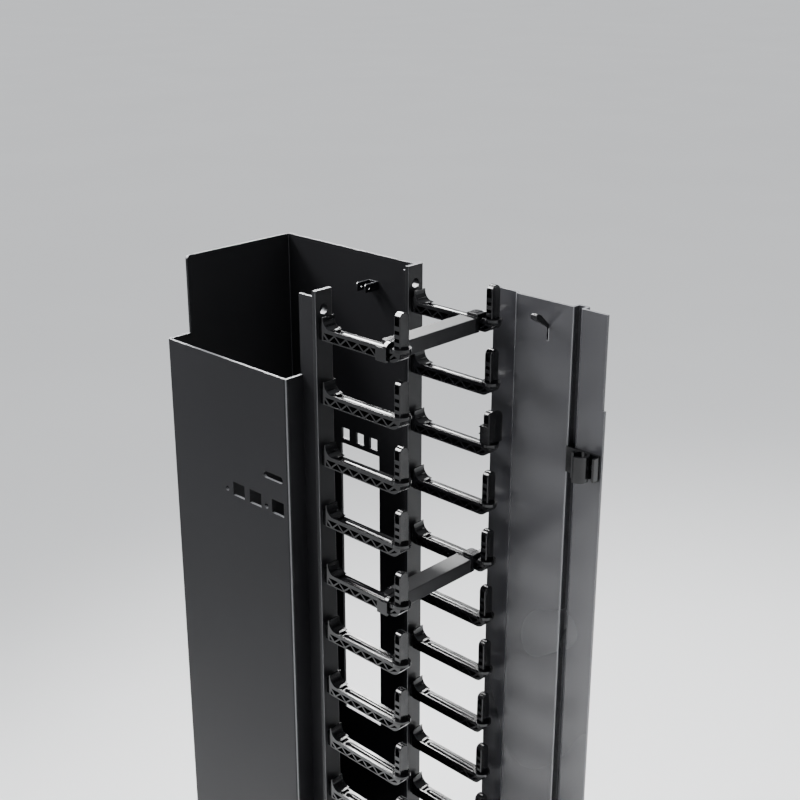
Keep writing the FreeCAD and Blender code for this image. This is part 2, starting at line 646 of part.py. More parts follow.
def build_first_finger(label):
    """Moulded finger. Its own zero is on the rail's face, at the rail's centre and the lip's height."""
    body = new_body(label, RAIL_FACE, CENTRES["front"], level(0))
    depth = dim["arm_depth"]
    foot = dim["foot_thickness"]
    half_foot = dim["foot_width"] / 2
    half_peg = dim["peg_width"] / 2
    peg_top = dim["peg_height"] / 2 - dim["peg_drop"]
    peg_low = -dim["peg_height"] / 2 - dim["peg_drop"]
    nose_end = ARM_END - dim["tip_edge"]
    side_profile = [
        (foot, 0),
        (foot, -depth),
        (TIP_IN - 2, -depth),
        (nose_end, -0.8, (TIP_OUT - 1.2, dim["nose_round"] - depth)),
        (nose_end, 0),
    ]
    extrude(body, "arm", "XZ_Plane", side_profile, dim["arm_width"], offset=-ARM_HALF)
    lip_back = dim["lip_width"] - ARM_HALF
    valley = -dim["valley_drop"]
    block(body, "lip_relief", (foot + 7, lip_back, valley), (TIP_IN, ARM_HALF + PAST, PAST), cut=True)
    crown_radius = dim["crown_radius"]
    crown_start = foot + dim["crown_start"]
    centre_y = lip_back + crown_radius
    centre_z = -dim["crown_drop"] - crown_radius
    crown = body.newObject("PartDesign::AdditiveCylinder", "half_round")
    bind(crown, "Radius", crown_radius)
    bind(crown, "Height", TIP_IN + 0.4 - crown_start)
    crown.Angle = 180
    turned = Rotation(Vector(0, 1, 0), 90)
    quarter = Rotation(Vector(0, 0, 1), 90)
    crown.Placement = Placement(Vector(), turned.multiply(quarter))
    place(crown, crown_start, centre_y, centre_z)
    bullet = body.newObject("PartDesign::AdditiveEllipsoid", "bullet_end")
    bind(bullet, "Radius1", crown_radius)
    bind(bullet, "Radius2", dim["crown_nose"])
    bind(bullet, "Radius3", crown_radius)
    bullet.Angle1 = 0
    bullet.Angle2 = 90
    place(bullet, crown_start, centre_y, centre_z)
    cut_truss(body)
    rise = dim["root_rise"]
    root_end = foot + dim["root_reach"]
    root = [
        (foot, -PAST),
        (foot, rise),
        (foot + dim["root_sheet"], rise),
        (root_end, -0.2, (foot + 2.9, 1.7)),
        (root_end, -PAST),
    ]
    extrude(body, "root", "XZ_Plane", root, dim["arm_width"], offset=-ARM_HALF)
    hollow = [
        (foot + 1, rise + PAST),
        (foot + 1.9, rise + PAST),
        (root_end + PAST, 0.9, (foot + 4.6, 3)),
        (root_end + PAST, -0.4),
        (foot + 7.4, -0.4),
        (foot + 1, rise - 0.6, (foot + 2.4, 1.8)),
    ]
    ramp_half = ARM_HALF - dim["lip_width"]
    extrude(body, "root_hollow", "XZ_Plane", hollow, ramp_half * 2, offset=-ramp_half, cut=True)
    block(body, "root_rib", (foot + 0.9, -ramp_half, 1.6), (foot + 2.9, ramp_half, 2.6))
    plate = dim["nose_plate"]
    nose_centre = ARM_END - ARM_HALF
    rod(body, "nose", (nose_centre, 0, -plate), "z", ARM_HALF, plate)
    block(body, "nose_neck", (TIP_IN - 1.4, -ARM_HALF, -plate), (nose_centre, ARM_HALF, 0))
    block(body, "foot", (0, -half_foot, -depth), (foot + 0.4, half_foot, 3.2))
    flange_back = -dim["rail_thickness"] - T
    end = flange_back - dim["peg_end"]
    block(body, "peg", (end, -half_peg, peg_low), (0.2, half_peg, peg_top))
    barb_low = peg_low - dim["barb"]
    block(body, "peg_barb", (end, -half_peg, barb_low), (flange_back - 0.1, half_peg, peg_top))
    build_tip(body)
    return body


def cut_truss(body):
    """Triangular pockets in both sides of the arm, with a zigzag of struts between them."""
    foot = dim["foot_thickness"]
    strut = dim["truss_strut"]
    upper, lower = -dim["truss_roof"], dim["truss_chord"] - dim["arm_depth"]
    first, last = foot + dim["truss_start"], TIP_IN - dim["truss_end"]
    bay = (last - first) / TRUSS_BAYS
    pockets = {
        "heel": [(foot + 1.2, lower), (first - strut * 2, lower), (foot + 1.2, upper - strut * 2)],
        "nose": [(last + strut * 1.5, lower), (TIP_IN + 1.2, upper - 1), (TIP_IN + 3.8, upper - 1.8)],
    }
    for k in range(TRUSS_BAYS):
        start = first + bay * k
        pockets[f"low_{k + 1}"] = [
            (start + strut, lower),
            (start + bay / 2, upper - strut),
            (start + bay - strut, lower),
        ]
    for k in range(TRUSS_BAYS + 1):
        foot_of_struts = first + bay * k
        pockets[f"high_{k + 1}"] = [
            (foot_of_struts - bay / 2 + strut, upper),
            (foot_of_struts, lower + strut),
            (foot_of_struts + bay / 2 - strut, upper),
        ]
    half_web = dim["web"] / 2
    depth = ARM_HALF - half_web + PAST
    for name, points in pockets.items():
        extrude(body, f"{name}_back", "XZ_Plane", points, depth, offset=-ARM_HALF - PAST, cut=True)
        extrude(body, f"{name}_front", "XZ_Plane", points, depth, offset=half_web, cut=True)


def build_tip(body):
    """Upright tip on a round collar, with a half-round top and recesses in its front."""
    rise = dim["collar_rise"]
    top = dim["tip_rise"]
    collar_low = rise - dim["collar_thickness"]
    collar_start = (TIP_MIDDLE, 0, collar_low)
    rod(body, "collar", collar_start, "z", dim["collar_radius"], dim["collar_thickness"])
    block(body, "tip", (TIP_IN, -TIP_HALF, collar_low), (TIP_OUT, TIP_HALF, top))
    faces = (TIP_IN.value, TIP_OUT.value)

    def over_the_top(edge):
        box = edge.BoundBox
        at_top = abs(box.ZMax - top.value) < 0.01 and abs(box.ZMin - top.value) < 0.01
        return at_top and box.XLength > 1 and box.YLength < 0.01

    def round_the_ends(edge):
        box = edge.BoundBox
        at_face = box.XLength < 0.01 and any(abs(box.XMin - x) < 0.01 for x in faces)
        return at_face and box.ZMin > rise.value - 0.01 and box.ZMax > rise.value + 1

    round_edges(body, "tip_dome", TIP_HALF - 0.3, over_the_top)
    round_edges(body, "tip_corners", dim["tip_edge"], round_the_ends)
    margin = dim["tip_margin"]
    left, right = TIP_IN + margin, TIP_OUT - margin
    half = (right - left) / 2
    front, depth = -TIP_HALF - PAST, dim["tip_recess"] + PAST
    inner = front + depth
    slot_centre = top - dim["tip_roof"] - half
    low = (left, front, top - dim["tip_slot_drop"])
    block(body, "tip_slot", low, (right, inner, slot_centre), cut=True)
    rod(body, "tip_slot_end", (TIP_MIDDLE, front, slot_centre), "y", half, depth, cut=True)
    first = top - dim["tip_opening_drop"]
    high = (right, inner, first + dim["tip_opening_height"])
    opening = block(body, "tip_opening", (left, front, first), high, cut=True)
    ladder(body, "tip_openings", opening, dim["tip_opening_pitch"], 2)
    block(body, "foot_opening", (left, front, rise), (right, inner, rise + 1.6), cut=True)


def finger_label(side_name, row):
    return f"{side_name}_finger_{row + 1:02d}"


def build_fingers():
    """The first finger is built, and the others are clones of it in their own places."""
    first = build_first_finger(finger_label("front", 0))
    for side_name, centre in CENTRES.items():
        for row in range(ROWS):
            label = finger_label(side_name, row)
            if label == first.Label:
                continue
            body = new_body(label, RAIL_FACE, centre, level(row))
            clone = body.newObject("PartDesign::FeatureBase", f"clone_{label}")
            clone.BaseFeature = first
            body.Tip = clone
    return first


BAR_CENTRE = TIP_OUT - dim["bar_offset"]
BAR_LOW = BAR_CENTRE - dim["bar_width"] / 2
BAR_HIGH = BAR_CENTRE + dim["bar_width"] / 2
BAR_BOTTOM = -dim["bar_drop"]
BAR_TOP = BAR_BOTTOM + dim["bar_height"]
CLAMP_HIGH = BAR_HIGH - dim["clamp_inset"]
CLAMP_LOW = CLAMP_HIGH - dim["clamp_width"]
STRAP_LOW = CLAMP_HIGH - dim["strap_width"]
SHOULDER = ARM_HALF + dim["clamp_gap"] + dim["clamp_shoulder"]


def build_cross_bar(name, row):
    """Hollow bar between the two clamps of one row."""
    body = new_body(f"{name}_bar", RAIL_FACE, 0, level(row))
    start = CENTRES["front"] + SHOULDER
    end = CENTRES["rear"] - SHOULDER
    wall = dim["bar_wall"]
    block(body, "tube", (BAR_LOW, start, BAR_BOTTOM), (BAR_HIGH, end, BAR_TOP))
    low = (BAR_LOW + wall, start - PAST, BAR_BOTTOM + wall)
    block(body, "bore", low, (BAR_HIGH - wall, end + PAST, BAR_TOP - wall), cut=True)
    low_edge, high_edge = BAR_LOW.value, BAR_HIGH.value
    top = BAR_TOP.value

    def long_top_edges(edge):
        box = edge.BoundBox
        outer = abs(box.XMin - low_edge) < 0.01 or abs(box.XMin - high_edge) < 0.01
        return box.YLength > 10 and abs(box.ZMin - top) < 0.01 and outer

    round_edges(body, "bar_edges", dim["bar_edge"], long_top_edges)
    return body


def build_clamp(name, side_name, row):
    """Saddle over an arm: a strap, a cheek outside the arm, a short pad, a cap and a tongue in the bar."""
    body = new_body(f"{name}_{side_name}_clamp", RAIL_FACE, CENTRES[side_name], level(row))
    # The front clamp's bar lies behind its arm, and the rear clamp's bar lies before it.
    way = 1 if side_name == "front" else -1
    gap = dim["clamp_gap"]
    cheek_in = ARM_HALF + gap
    cheek_out = cheek_in + dim["clamp_wall"]
    pad = dim["clamp_top"]

    def piece(title, x_low, x_high, y_span, z_low, z_high, cut=False):
        near, far = y_span if way == 1 else (-y_span[1], -y_span[0])
        block(body, title, (x_low, near, z_low), (x_high, far, z_high), cut=cut)

    strap = [
        (-way * cheek_out, BAR_BOTTOM),
        (-way * cheek_out, 0.2),
        (-way * 1.2, pad, (-way * (cheek_out - 1.6), pad - 0.9)),
        (way * SHOULDER, pad),
        (way * SHOULDER, BAR_BOTTOM),
        (way * cheek_in, BAR_BOTTOM),
        (way * cheek_in, gap),
        (-way * cheek_in, gap),
        (-way * cheek_in, BAR_BOTTOM),
    ]
    extrude(body, "strap", "YZ_Plane", strap, dim["strap_width"], offset=STRAP_LOW)
    piece("cheek", CLAMP_LOW, CLAMP_HIGH, (-cheek_out, -cheek_in), BAR_BOTTOM, 0.2)
    piece("shoulder", CLAMP_LOW, CLAMP_HIGH, (cheek_in, SHOULDER), BAR_BOTTOM, pad)
    pad_end = STRAP_LOW - dim["clamp_groove"]
    piece("pad", CLAMP_LOW, pad_end, (-dim["pad_reach"], SHOULDER), gap, pad)
    piece("cap", BAR_LOW, BAR_HIGH, (SHOULDER - dim["end_cap"], SHOULDER), BAR_BOTTOM, BAR_TOP)
    step = (SHOULDER - dim["pad_step"], SHOULDER + PAST)
    piece("pad_step", BAR_LOW - PAST, BAR_HIGH + PAST, step, BAR_TOP, pad + PAST, cut=True)
    inset = dim["bar_wall"] + dim["spigot_clearance"]
    tongue = (SHOULDER - dim["tongue_root"], SHOULDER + dim["spigot"])
    piece("tongue", BAR_LOW + inset, BAR_HIGH - inset, tongue, BAR_BOTTOM + inset, BAR_TOP - inset)
    corner = upright_at((CLAMP_LOW, -way * dim["pad_reach"]))
    round_edges(body, "pad_corner", dim["pad_round"], corner)
    return body


def build_retainer():
    """Sleeve that slides on a fingertip, with a tall outer plate and two small hooks."""
    body = new_body("tip_retainer", RAIL_FACE, CENTRES["rear"], level(RETAINER_ROW))
    gap, wall = dim["sleeve_gap"], dim["sleeve_wall"]
    foot = dim["collar_rise"] + gap
    top = foot + dim["sleeve_height"]
    inner_low, inner_high = TIP_IN - gap, TIP_OUT + gap
    front, back = -TIP_HALF - gap, TIP_HALF + gap
    outer_low = (inner_low - wall, front - wall, foot)
    block(body, "sleeve", outer_low, (inner_high + wall, back + wall, top))
    paddle_end = foot + dim["paddle_height"]
    reach = back + dim["paddle_reach"]
    block(body, "paddle", (inner_high, front - wall, foot), (inner_high + wall, reach, paddle_end))
    low = (inner_low, front, foot - PAST)
    block(body, "tip_space", low, (inner_high, back, top + PAST), cut=True)
    catch, width = dim["catch_height"], dim["catch_width"]
    for name, height in (("upper", top - catch), ("lower", top - catch - dim["catch_pitch"])):
        x = inner_low - wall + 0.2
        hook = [
            (x, height),
            (x, height + catch),
            (x - dim["catch_reach"], height),
        ]
        extrude(body, f"hook_{name}", "XZ_Plane", hook, width, offset=-front - width)

    def paddle_corner(edge):
        box = edge.BoundBox
        end_y = reach.value
        at_corner = abs(box.YMin - end_y) < 0.02 and box.YLength < 0.01
        return at_corner and abs(box.ZMin - paddle_end.value) < 0.02 and box.XLength > 0.5

    round_edges(body, "paddle_round", dim["paddle_round"], paddle_corner)
    return body


def build_panel():
    """One folded sheet: set-back strip, flat face, groove and edge strip."""
    body = new_body("rear_panel")
    left = PANEL_LEFT
    step = dim["joggle_step"]
    slope_start = left + dim["joggle_width"] - 1
    near, far = BACK_FACE, BACK_FACE + T
    groove_left = W - dim["groove_inset"]
    groove_right = groove_left + dim["groove_width"]
    bottom = near + dim["groove_depth"]
    points = [
        (left, near + step),
        (slope_start, near + step),
        (slope_start + dim["joggle_run"], near),
        (groove_left, near),
        (groove_left, bottom),
        (groove_right, bottom),
        (groove_right, near),
        (W, near),
        (W, far),
        (groove_right + T, far),
        (groove_right + T, bottom + T),
        (groove_left - T, bottom + T),
        (groove_left - T, far),
        (slope_start + dim["joggle_run"] + 0.8, far),
        (slope_start + 0.8, far + step),
        (left, far + step),
    ]
    extrude(body, "folded_sheet", "XY_Plane", points, PANEL_TOP - T, offset=T)
    step_low = PANEL_TOP - dim["edge_step_drop"]
    narrow = W - dim["edge_step"]
    before, behind = near - PAST, far + PAST
    through = behind - before
    high = (W + PAST, behind, PANEL_TOP + PAST)
    block(body, "edge_notch", (narrow, before, step_low), high, cut=True)
    x = HOOK_LEFT
    z = TOP - dim["hook_slot_drop"]
    high = (x + dim["hook_sheet"], behind, z + dim["hook_slot_height"])
    block(body, "hook_slot", (x, before, z), high, cut=True)
    rivet_x, rivet_z = clip_rivet_spot()
    rod(body, "clip_hole", (rivet_x, before, rivet_z), "y", RIVET_HOLE, through, cut=True)
    for number, spot in enumerate(TRAY_TABS["panel"][3], start=1):
        start = (spot, before, dim["screw_height"])
        rod(body, f"tray_hole_{number}", start, "y", SCREW_HOLE, through, cut=True)
    folds = upright_at((groove_left, near), (groove_right, near))
    backs = upright_at((groove_left - T, bottom + T), (groove_right + T, bottom + T))
    round_edges(body, "groove_folds", dim["groove_bend"], folds)
    round_edges(body, "groove_back_folds", dim["groove_bend"], backs)
    return body


def build_panel_hook():
    """Tongue that hangs in the panel's slot, leans out and widens toward its end."""
    body = new_body("panel_hook")
    near, far = BACK_FACE, BACK_FACE + T
    slot_low = TOP - dim["hook_slot_drop"]
    high = slot_low + dim["hook_slot_height"]
    foot = slot_low - dim["hook_leg"]
    thick = dim["hook_sheet"]
    reach, rise = dim["hook_reach"], dim["hook_rise"]
    neck = high - dim["hook_neck"]
    profile = [
        (far, foot),
        (far + thick, foot),
        (far + thick, high),
        (near, high),
        (near - reach * 0.5, high + rise * 0.67),
        (near - reach * 0.6, high + rise * 0.83),
        (near - reach * 0.86, high + rise),
        (near - reach, high + rise * 0.95),
        (near - reach, high + rise * 0.6),
        (near - reach * 0.83, high + rise * 0.44),
        (near - reach * 0.43, high + rise * 0.13),
        (near, neck),
        (far, neck),
    ]
    outer = HOOK_LEFT - dim["hook_flare"]
    extrude(body, "tongue", "YZ_Plane", profile, thick + dim["hook_flare"], offset=outer)
    beside = [
        (outer - PAST, far + thick + PAST),
        (HOOK_LEFT, far + thick + PAST),
        (HOOK_LEFT, near - PAST),
        (outer, near - reach),
        (outer - PAST, near - reach),
    ]
    height = dim["hook_leg"] + dim["hook_slot_height"] + rise + 2
    extrude(body, "flare", "XY_Plane", beside, height, offset=foot - PAST, cut=True)
    return body


def fork_rivet_spot():
    """Place of the rivet between the fork's ears."""
    x = dim["fork_left"] + dim["fork_ear"] + dim["fork_gap"] / 2
    return x, TOP - dim["fork_drop"] + dim["fork_height"] / 2


def build_fork():
    """Bracket with two ears that take a hinge pin."""
    body = new_body("fork_bracket")
    left, ear = dim["fork_left"], dim["fork_ear"]
    right = left + ear * 2 + dim["fork_gap"]
    low = TOP - dim["fork_drop"]
    high = low + dim["fork_height"]
    front = BACK_FACE - dim["fork_reach"]
    plate_front = BACK_FACE - dim["fork_plate"]
    block(body, "ears", (left, front, low), (right, BACK_FACE, high))
    inside = (right - ear, plate_front, high + PAST)
    block(body, "ear_gap", (left + ear, front - PAST, low - PAST), inside, cut=True)
    start = (left - PAST, front + dim["fork_hole_inset"], (low + high) / 2)
    rod(body, "pin_hole", start, "x", dim["fork_hole_radius"], right - left + PAST * 2, cut=True)
    x, z = fork_rivet_spot()
    length = dim["fork_plate"] + PAST * 2
    rod(body, "rivet_hole", (x, plate_front - PAST, z), "y", RIVET_HOLE, length, cut=True)

    def ear_ends(edge):
        box = edge.BoundBox
        along = abs(box.XLength - ear.value) < 0.01 and box.YLength < 0.01 and box.ZLength < 0.01
        return along and abs(box.YMin - front.value) < 0.02

    round_edges(body, "ear_rounds", dim["fork_round"], ear_ends)
    return body


CLIP_RIGHT = W - dim["clip_inset"]


def clip_rivet_spot():
    """Place of the rivet that holds the cable clip on the panel's edge strip."""
    x = CLIP_RIGHT - dim["clip_wing"] - dim["rivet_head_radius"] - 0.4
    return x, TOP - dim["clip_drop"] + dim["clip_height"] / 2


def build_cable_clip():
    """Spring clip: a jaw in the panel's groove, a back plate and an open ring for one cable."""
    body = new_body("cable_clip")
    low = TOP - dim["clip_drop"]
    high = low + dim["clip_height"]
    face = BACK_FACE
    left = W - dim["groove_inset"] + dim["clip_play"]
    right = CLIP_RIGHT
    plate = dim["clip_plate"]
    block(body, "plate", (left, face - plate, low), (right, face, high))
    jaw_right = left + dim["clip_jaw"]
    block(body, "jaw", (left, face - plate, low), (jaw_right, face + dim["groove_depth"] - 1, high))
    inner, wall = dim["clip_inner_radius"], dim["clip_wall"]
    x = W - dim["clip_reach"]
    y = face - plate - inner - wall + dim["clip_sink"]
    rod(body, "ring", (x, y, low), "z", inner + wall, high - low)
    rod(body, "ring_hollow", (x, y, low - PAST), "z", inner, high - low + PAST * 2, cut=True)
    mouth = [
        (x, y),
        (x - 2.4, y - 12),
        (x - 12, y - 12),
        (x - 12, y - 1.2),
    ]
    extrude(body, "mouth", "XY_Plane", mouth, high - low + PAST * 2, offset=low - PAST, cut=True)
    wing = right - dim["clip_wing"]
    wing_end = face - plate - dim["clip_wing_reach"]
    block(body, "right_wing", (wing, wing_end, low + 1), (right, face - plate + 0.2, high - 1))
    rivet_x, rivet_z = clip_rivet_spot()
    start = (rivet_x, face - plate - 6, rivet_z)
    rod(body, "rivet_hole", start, "y", RIVET_HOLE, plate + 8, cut=True)
    return body


def primitive(kind, name, **sizes):
    """A Part solid with its sizes tied to the sheet."""
    thing = doc.addObject(kind, name)
    for prop, length in sizes.items():
        bind(thing, prop, length)
    return thing


def fastener(name, spot, axis, head, shank):
    """Round-headed fastener. The spot is under its head, and the axis runs into the work."""
    head_radius, head_height = head
    shank_radius, shank_length = shank
    x, y, z = (dim["overall_width"] / -2 + spot[0], dim["overall_depth"] / -2 + spot[1], spot[2])
    step = {"x": (1, 0, 0), "-x": (-1, 0, 0), "y": (0, 1, 0), "-y": (0, -1, 0)}[axis]
    shank_rod = primitive("Part::Cylinder", f"{name}_shank", Radius=shank_radius, Height=shank_length)
    shank_rod.Placement = Placement(Vector(), ALONG[axis])
    place(shank_rod, x, y, z)
    back = {"x": "-x", "-x": "x", "y": "-y", "-y": "y"}[axis]
    lower = head_height * 0.55
    rim = primitive("Part::Cylinder", f"{name}_rim", Radius=head_radius, Height=lower)
    crown = primitive(
        "Part::Cone",
        f"{name}_crown",
        Radius1=head_radius,
        Radius2=head_radius * 0.72,
        Height=head_height - lower,
    )
    crown_spot = [value - lower * way for value, way in zip((x, y, z), step)]
    for thing, corner in ((rim, (x, y, z)), (crown, crown_spot)):
        thing.Placement = Placement(Vector(), ALONG[back])
        place(thing, *corner)
    whole = doc.addObject("Part::MultiFuse", f"{name}_whole")
    whole.Shapes = [shank_rod, rim, crown]
    socket = doc.addObject("Part::Prism", f"{name}_socket")
    socket.Polygon = 6
    bind(socket, "Circumradius", head_radius * 0.42)
    bind(socket, "Height", head_height)
    socket.Placement = Placement(Vector(), ALONG[back])
    place(socket, *[value - head_height * 0.35 * way for value, way in zip((x, y, z), step)])
    cut = doc.addObject("Part::Cut", name)
    cut.Base = whole
    cut.Tool = socket
    return cut


def fastener_group(label, spots, axis, head, shank):
    """Several alike fasteners in one node."""
    group = doc.addObject("Part::Compound", label)
    group.Label = label
    group.Links = [
        fastener(f"{label}_{number}", spot, axis, head, shank)
        for number, spot in enumerate(spots, start=1)
    ]
    nodes.append(group)
    return group


def build_fasteners():
    head = (dim["head_radius"], dim["head_height"])
    tray_shank = (dim["screw_radius"], T * 2 - 0.2)
    z = dim["screw_height"]
    front = [(x, T * 2, z) for x in TRAY_TABS["front"][3]]
    left = [(T * 2, y, z) for y in TRAY_TABS["left"][3]]
    back = [(x, BACK_FACE - T, z) for x in TRAY_TABS["back"][3]]
    panel = [(x, DUCT_D + T, z) for x in TRAY_TABS["panel"][3]]
    fastener_group("front_tray_screws", front, "-y", head, tray_shank)
    fastener_group("left_tray_screws", left, "-x", head, tray_shank)
    fastener_group("back_tray_screws", back, "y", head, tray_shank)
    fastener_group("panel_tray_screws", panel, "-y", head, tray_shank)
    for side_name, centre in CENTRES.items():
        spots = [(FLANGE, centre, height) for height in rail_screw_heights()]
        small_head = (dim["small_head_radius"], dim["small_head_height"])
        shank = (dim["small_screw_radius"], T + rail_bite() - 0.2)
        fastener_group(f"{side_name}_rail_screws", spots, "x", small_head, shank)
    rivet_head = (dim["rivet_head_radius"], dim["rivet_head_height"])
    plate = dim["fork_plate"]
    rivet_x, rivet_z = fork_rivet_spot()
    spot = (rivet_x, BACK_FACE - plate, rivet_z)
    fastener_group("fork_rivet", [spot], "y", rivet_head, (dim["rivet_radius"], T + plate))
    rivet_x, rivet_z = clip_rivet_spot()
    plate = dim["clip_plate"]
    spot = (rivet_x, BACK_FACE - plate, rivet_z)
    fastener_group("clip_rivet", [spot], "y", rivet_head, (dim["rivet_radius"], T + plate))


def write_nodes():
    """Checks every object, then writes each sub-part to its own file."""
    doc.recompute()
    for thing in doc.Objects:
        if any(word in ("Invalid", "Error") for word in thing.State):
            raise RuntimeError(f"{thing.Label} failed: {thing.State}")
    os.makedirs("parts", exist_ok=True)
    for thing in nodes:
        shape = thing.Shape
        if shape.isNull() or not shape.isValid() or shape.Volume <= 0:
            raise RuntimeError(f"{thing.Label} has no valid solid")
    for thing in nodes:
        thing.Shape.exportStep(f"parts/{thing.Label}.step")
        print(thing.Label, len(thing.Shape.Solids), round(thing.Shape.Volume, 1))


build_base_tray()
build_duct()
for rail_side in CENTRES:
    build_rail(rail_side)
build_fingers()
for bar_name, bar_row in BAR_ROWS.items():
    build_cross_bar(bar_name, bar_row)
    for clamp_side in CENTRES:
        build_clamp(bar_name, clamp_side, bar_row)
build_retainer()
build_panel()
build_panel_hook()
build_fork()
build_cable_clip()
build_fasteners()
write_nodes()
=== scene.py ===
import json
import math

import bpy
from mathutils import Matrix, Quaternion, Vector


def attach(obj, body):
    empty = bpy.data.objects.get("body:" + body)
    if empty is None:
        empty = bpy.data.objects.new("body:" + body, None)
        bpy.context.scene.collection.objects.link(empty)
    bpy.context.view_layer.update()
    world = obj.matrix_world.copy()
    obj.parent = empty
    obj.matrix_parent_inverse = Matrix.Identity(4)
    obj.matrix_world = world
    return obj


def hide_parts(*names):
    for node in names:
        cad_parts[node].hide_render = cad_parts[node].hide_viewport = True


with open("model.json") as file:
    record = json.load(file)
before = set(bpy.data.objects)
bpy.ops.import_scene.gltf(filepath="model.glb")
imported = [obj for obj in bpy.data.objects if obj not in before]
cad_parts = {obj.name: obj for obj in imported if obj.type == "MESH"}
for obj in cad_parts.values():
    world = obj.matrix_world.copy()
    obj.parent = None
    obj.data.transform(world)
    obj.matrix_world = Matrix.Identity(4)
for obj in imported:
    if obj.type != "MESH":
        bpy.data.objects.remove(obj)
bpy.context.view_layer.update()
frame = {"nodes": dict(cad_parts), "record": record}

MM = 0.001
NODES = frame["nodes"]
BODY_OF = {
    node: body
    for body, members in frame["record"]["behaviour"]["bodies"].items()
    for node in members
}
SLOT_OF = {part["node"]: part["material_slot"] for part in frame["record"]["subparts"]}


# Materials

# Grey noise mostly lies between these values.
NOISE_LOW, NOISE_HIGH = 0.3, 0.7

COAT_CLOUD_MM = 120
COAT_PEEL_MM = 1.1
COAT_PEEL_DEPTH_MM = 0.004
COAT_ROUGHNESS_SPREAD = 0.03

MOULD_FLOW_MM = 9
MOULD_SKIN_MM = 3.0
MOULD_SKIN_DEPTH_MM = 0.01
MOULD_SHINE = 0.45

DRAWN_LINE_MM = 0.9
DRAWN_LINE_RUN_MM = 60
DRAWN_LINE_DEPTH_MM = 0.002
TUBE_SHINE = 0.5

WORN_PATCH_MM = 1.6

FLOOR_CLOUD_MM = 400
FLOOR_ROUGHNESS = 0.75

PLASTIC_IOR = 1.5
COAT_IOR = 1.5
GLOSSY_COAT_IOR = 1.55


def linear(hex_colour):
    """An sRGB hex colour as Blender's linear values."""
    channels = [int(hex_colour[k : k + 2], 16) / 255 for k in (1, 3, 5)]
    curve = [c / 12.92 if c <= 0.04045 else ((c + 0.055) / 1.055) ** 2.4 for c in channels]
    return (*curve, 1.0)


def per_metre(size_mm):
    """The noise scale whose grains are this many millimetres wide."""
    return 1 / (size_mm * MM)


def add(tree, kind, **links):
    """Adds one node. The links are values or sockets for its inputs."""
    node = tree.nodes.new(kind)
    for name, value in links.items():
        socket = node.inputs[name.replace("_", " ")]
        if isinstance(value, bpy.types.NodeSocket):
            tree.links.new(value, socket)
        else:
            socket.default_value = value
    return node


def start_material(name):
    """An empty material with its shader and object coordinates."""
    material = bpy.data.materials.new(name)
    material.use_nodes = True
    tree = material.node_tree
    tree.nodes.clear()
    shader = add(tree, "ShaderNodeBsdfPrincipled")
    add(tree, "ShaderNodeOutputMaterial", Surface=shader.outputs["BSDF"])
    spot = add(tree, "ShaderNodeTexCoord").outputs["Object"]
    return material, tree, shader, spot


def noise(tree, spot, grain_mm, detail):
    """Grey noise of one grain size."""
    node = add(tree, "ShaderNodeTexNoise", Vector=spot, Scale=per_metre(grain_mm), Detail=detail)
    return node.outputs["Fac"]


def spread(tree, value, low, high):
    """Stretches grey noise over a new range."""
    return add(
        tree,
        "ShaderNodeMapRange",
        Value=value,
        From_Min=NOISE_LOW,
        From_Max=NOISE_HIGH,
        To_Min=low,
        To_Max=high,
    ).outputs["Result"]


def blend_colours(tree, value, colours):
    """A colour between two hex colours."""
    ramp = add(tree, "ShaderNodeValToRGB", Fac=value)
    for element, colour, place in zip(ramp.color_ramp.elements, colours, (NOISE_LOW, NOISE_HIGH)):
        element.color = linear(colour)
        element.position = place
    return ramp.outputs["Color"]


def bump(tree, height, depth_mm):
    """A surface normal from a height."""
    node = add(tree, "ShaderNodeBump", Height=height, Distance=depth_mm * MM, Strength=1.0)
    return node.outputs["Normal"]


def powder_coated_steel(name, colours, rough, shine, ior=COAT_IOR):
    """Folded sheet steel, sprayed and baked: an even dark coat with a faint orange peel."""
    material, tree, shader, spot = start_material(name)
    clouds = noise(tree, spot, COAT_CLOUD_MM, 0.0)
    peel = noise(tree, spot, COAT_PEEL_MM, 1.0)
    roughness = spread(tree, clouds, rough - COAT_ROUGHNESS_SPREAD, rough + COAT_ROUGHNESS_SPREAD)
    tree.links.new(blend_colours(tree, clouds, colours), shader.inputs["Base Color"])
    tree.links.new(roughness, shader.inputs["Roughness"])
    tree.links.new(bump(tree, peel, COAT_PEEL_DEPTH_MM), shader.inputs["Normal"])
    shader.inputs["IOR"].default_value = ior
    shader.inputs["Specular IOR Level"].default_value = shine
    return material


def moulded_plastic(name, colours, rough):
    """Injection-moulded glass-filled nylon: glossy black, a little uneven where it flowed."""
    material, tree, shader, spot = start_material(name)
    flow = noise(tree, spot, MOULD_FLOW_MM, 2.0)
    skin = noise(tree, spot, MOULD_SKIN_MM, 1.0)
    roughness = spread(tree, flow, rough - 0.04, rough + 0.06)
    tree.links.new(blend_colours(tree, flow, colours), shader.inputs["Base Color"])
    tree.links.new(roughness, shader.inputs["Roughness"])
    tree.links.new(bump(tree, skin, MOULD_SKIN_DEPTH_MM), shader.inputs["Normal"])
    shader.inputs["IOR"].default_value = PLASTIC_IOR
    shader.inputs["Specular IOR Level"].default_value = MOULD_SHINE
    return material


